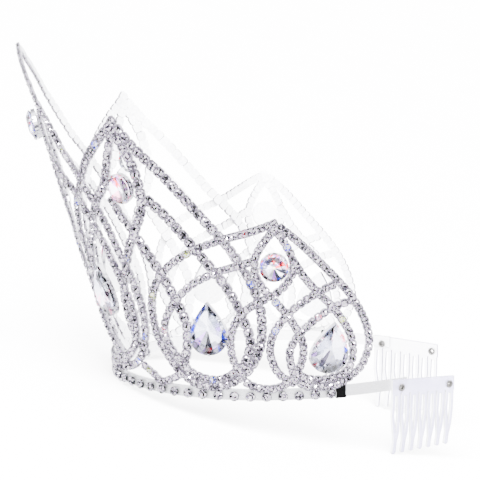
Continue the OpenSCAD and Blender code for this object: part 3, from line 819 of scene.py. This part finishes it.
def claw_setting(width, height, place, claw):
    """The cup of one large stone, with copies of the claw round it."""
    bm = bmesh.new()
    grow = 2 * (GAP + WALL)
    bottom = -PAVILION_H - GAP - WALL
    foot = bm.faces.new(outline_ring(bm, width + grow, height + grow, 1, bottom, 48, 0))
    rim = extruded(bm, [foot], (0, 0, SETTING_RIM - bottom))
    bmesh.ops.inset_region(bm, faces=rim, thickness=WALL, use_even_offset=True)
    extruded(bm, rim, (0, 0, bottom + WALL - SETTING_RIM))
    bmesh.ops.delete(bm, geom=rim, context="FACES")
    for turn in DROP_CLAWS if height > width else ROUND_CLAWS:
        x, y = outline_point(width, height, turn)
        ahead, behind = outline_point(width, height, turn + 1), outline_point(width, height, turn - 1)
        facing = math.atan2(ahead[0] - behind[0], behind[1] - ahead[1])
        add_copy(bm, claw, Matrix.Translation((x, y, 0)) @ Matrix.Rotation(facing, 4, "Z"))
    bmesh.ops.recalc_face_normals(bm, faces=bm.faces)
    for face in bm.faces:
        if face.calc_center_median().z < bottom + 0.01:
            face.material_index = 1
    bmesh.ops.transform(bm, matrix=place, verts=bm.verts)
    return bm


# Each stone's place along the strip and height above it, how far out it stands, its width, height
# and turn, and the painted reflections of its upper and lower outer facets. All but the first are in
# pairs.
STONES = [
    ("crest_drop", 0, 124.5, 4.4, 9.6, 14, 0, MILD_REFLECTIONS, DEEP_REFLECTIONS),
    ("front_drop", 28.1, 45.5, 1.2, 17.4, 26, 0, MILD_REFLECTIONS, MILD_REFLECTIONS),
    ("middle_drop", 83.45, 31.8, 1, 17, 24.6, 3, PALE_REFLECTIONS, DEEP_REFLECTIONS),
    ("back_drop", 141.3, 22.6, 1, 18, 24, -10, MILD_REFLECTIONS, DEEP_REFLECTIONS),
    ("peak_round", 50.3, 98, -1.4, 13.6, 13.6, 0, ROSE_REFLECTIONS, MILD_REFLECTIONS),
    ("loop_round", 114.3, 64.3, 1, 12.5, 12.5, 0, ROSE_REFLECTIONS, DEEP_REFLECTIONS),
]
claw = setting_claw()
for stone, s, z, out_by, width, height, turn, above, below in STONES:
    both = [("_right", 1), ("_left", -1)] if s > 0 else [("", 1)]
    for side, sign in both:
        node = stone + side
        place = seat(sign * s, z, out_by, sign * turn)
        gem = cut_crystal(width, height, place, above, below, shake)
        cup = claw_setting(width, height, place, claw)
        piece(node + "_cut", gem, [crystal, mirror_back], node)
        piece(node + "_claws", cup, [foil, satin], node + "_setting", smooth=35)

# The thread wrappings: black thread wound close round the strip behind the last stud on each side,
# over the solder where the row of studs ends.
THREAD_D = 0.54
THREAD_START = 145.05
THREAD_SPAN = 4.9
THREAD_TURNS = 13
STEPS_A_TURN = 20
COIL_HALF_DEPTH = 0.95
COIL_HALF_HEIGHT = 3.2
COIL_MIDDLE_Z = 0.45
COIL_ROUNDING = 0.35
thread, tree, shader = finish_of("black_thread", Roughness=0.75, Specular_IOR_Level=0.05)
fibre = noise_factor(tree, 5000, 3)
coloured(tree, shader, fibre, [(0.3, (0.0001, 0.0001, 0.00012)), (0.7, (0.0012, 0.0012, 0.0014))])
relief(tree, shader, fibre, 0.00005)


def squared(share):
    """Carries a sine or cosine towards its ends, so that a turn follows the strip's flat section."""
    return math.copysign(abs(share) ** COIL_ROUNDING, share)


for side, sign in (("left", -1), ("right", 1)):
    winding = bpy.data.curves.new("winding", "CURVE")
    winding.dimensions = "3D"
    winding.bevel_depth = THREAD_D / 2
    winding.bevel_resolution = 2
    winding.use_fill_caps = True
    last = THREAD_TURNS * STEPS_A_TURN - 1
    spline = winding.splines.new("POLY")
    spline.points.add(last)
    for k in range(last + 1):
        turn = 2 * math.pi * k / STEPS_A_TURN
        x, y, heading = plan(THREAD_START + THREAD_SPAN * k / last)
        near = COIL_HALF_DEPTH * squared(math.cos(turn))
        high = COIL_HALF_HEIGHT * squared(math.sin(turn))
        spline.points[k].co = (
            sign * (x + math.sin(heading) * near), y - math.cos(heading) * near, COIL_MIDDLE_Z + high, 1,
        )
    wound = put_in_scene("winding", winding)
    bpy.context.view_layer.update()
    evaluated = wound.evaluated_get(bpy.context.evaluated_depsgraph_get())
    wound_mesh = bpy.data.meshes.new_from_object(evaluated)
    bpy.data.objects.remove(wound)
    bm = bmesh.new()
    bm.from_mesh(wound_mesh)
    bmesh.ops.recalc_face_normals(bm, faces=bm.faces)
    piece("winding_" + side, bm, [thread], "wrap_" + side, smooth=60)

# The combs: moulded in one piece from translucent plastic, with seven teeth that each split into two
# prongs and close to a rounded tip. The edges are softened as the mould leaves them. The outer faces
# are clouded lilac, and the faces towards the head are painted near-white, a painted light.
COMB_SHARP = 40
comb_plastic, tree, shader = finish_of("comb_plastic", Roughness=0.22, IOR=1.49, Transmission_Weight=0.55)
cloud = noise_factor(tree, 120, 2)
# Faces towards the head are painted near-white, a painted light; the outer faces take the clouded lilac.
sides = tree.nodes.new("ShaderNodeMix")
sides.data_type = "RGBA"
sides.inputs[6].default_value = (0.97, 0.97, 1.0, 1)
cloud_tones = tones(tree, cloud, [(0.3, (0.38, 0.365, 0.53)), (0.7, (0.48, 0.465, 0.63))])
tree.links.new(facing_out(tree, 0, 1), sides.inputs["Factor"])
tree.links.new(cloud_tones, sides.inputs[7])
tree.links.new(sides.outputs[2], shader.inputs["Base Color"])
relief(tree, shader, noise_factor(tree, 500, 1), 0.00003, 0.4)
for side in ("left", "right"):
    bm = bmesh.new()
    bm.from_mesh(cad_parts["comb_" + side].data)
    bmesh.ops.remove_doubles(bm, verts=bm.verts, dist=1e-6)
    bmesh.ops.dissolve_limit(bm, angle_limit=0.01, verts=bm.verts, edges=bm.edges)
    bmesh.ops.transform(bm, matrix=STANDING.inverted(), verts=bm.verts)
    comb = piece("hair_comb_" + side, bm, [comb_plastic], "comb_" + side, smooth=COMB_SHARP)
    softened = comb.modifiers.new("softened", "BEVEL")
    softened.width = 0.0003
    softened.segments = 2
    softened.limit_method = "ANGLE"
    softened.angle_limit = math.radians(COMB_SHARP)

# The eyelets: hollow rivets of plated brass with rolled flanges. The front ones clamp each comb to
# the end of the strip, and the rear ones line a hole near the end of the comb.
FRONT_EYELET_S = 179.6
# A flange's section from the bore to the barrel, as a radius and a depth below its face.
FLANGE = [(0.9, 0.12), (1.02, 0), (1.72, 0), (1.9, 0.15), (1.85, 0.33), (1.4, 0.35)]
# Each eyelet's place along the comb and up, and where its inner and its outer face lie.
EYELETS = [("front_eyelet_", 0, -1, -0.95, 2.7), ("rear_eyelet_", 28, -2.7, 0.2, 2.7)]
rivet, tree, shader = finish_of("eyelet_metal", Metallic=1.0)
dull = noise_factor(tree, 1200, 3)
coloured(tree, shader, dull, [(0.3, (0.16, 0.155, 0.14)), (0.7, (0.42, 0.41, 0.39))])
roughened(tree, shader, dull, 0.2, 0.4)
comb_x, comb_y, comb_heading = plan(FRONT_EYELET_S)
comb_plane = Matrix((
    (math.cos(comb_heading), 0, math.sin(comb_heading), comb_x),
    (math.sin(comb_heading), 0, -math.cos(comb_heading), comb_y),
    (0, 1, 0, 0),
    (0, 0, 0, 1),
))
for side, sign in (("left", -1), ("right", 1)):
    for name, along, up, low, high in EYELETS:
        bm = bmesh.new()
        rim = [bm.verts.new((radius, 0, low + depth)) for radius, depth in FLANGE]
        rim += [bm.verts.new((radius, 0, high - depth)) for radius, depth in reversed(FLANGE)]
        edges = [bm.edges.new(pair) for pair in zip(rim, rim[1:] + rim[:1])]
        bmesh.ops.spin(
            bm, geom=rim + edges, cent=(0, 0, 0), axis=(0, 0, 1), angle=2 * math.pi, steps=40,
            use_merge=True,
        )
        bmesh.ops.remove_doubles(bm, verts=bm.verts, dist=1e-4)
        mirror = Matrix.Diagonal((sign, 1, 1, 1))
        lie = mirror @ comb_plane @ Matrix.Translation((along, up, 0))
        bmesh.ops.transform(bm, matrix=lie, verts=bm.verts)
        bmesh.ops.recalc_face_normals(bm, faces=bm.faces)
        piece(name + side + "_rivet", bm, [rivet], name + side, smooth=50)
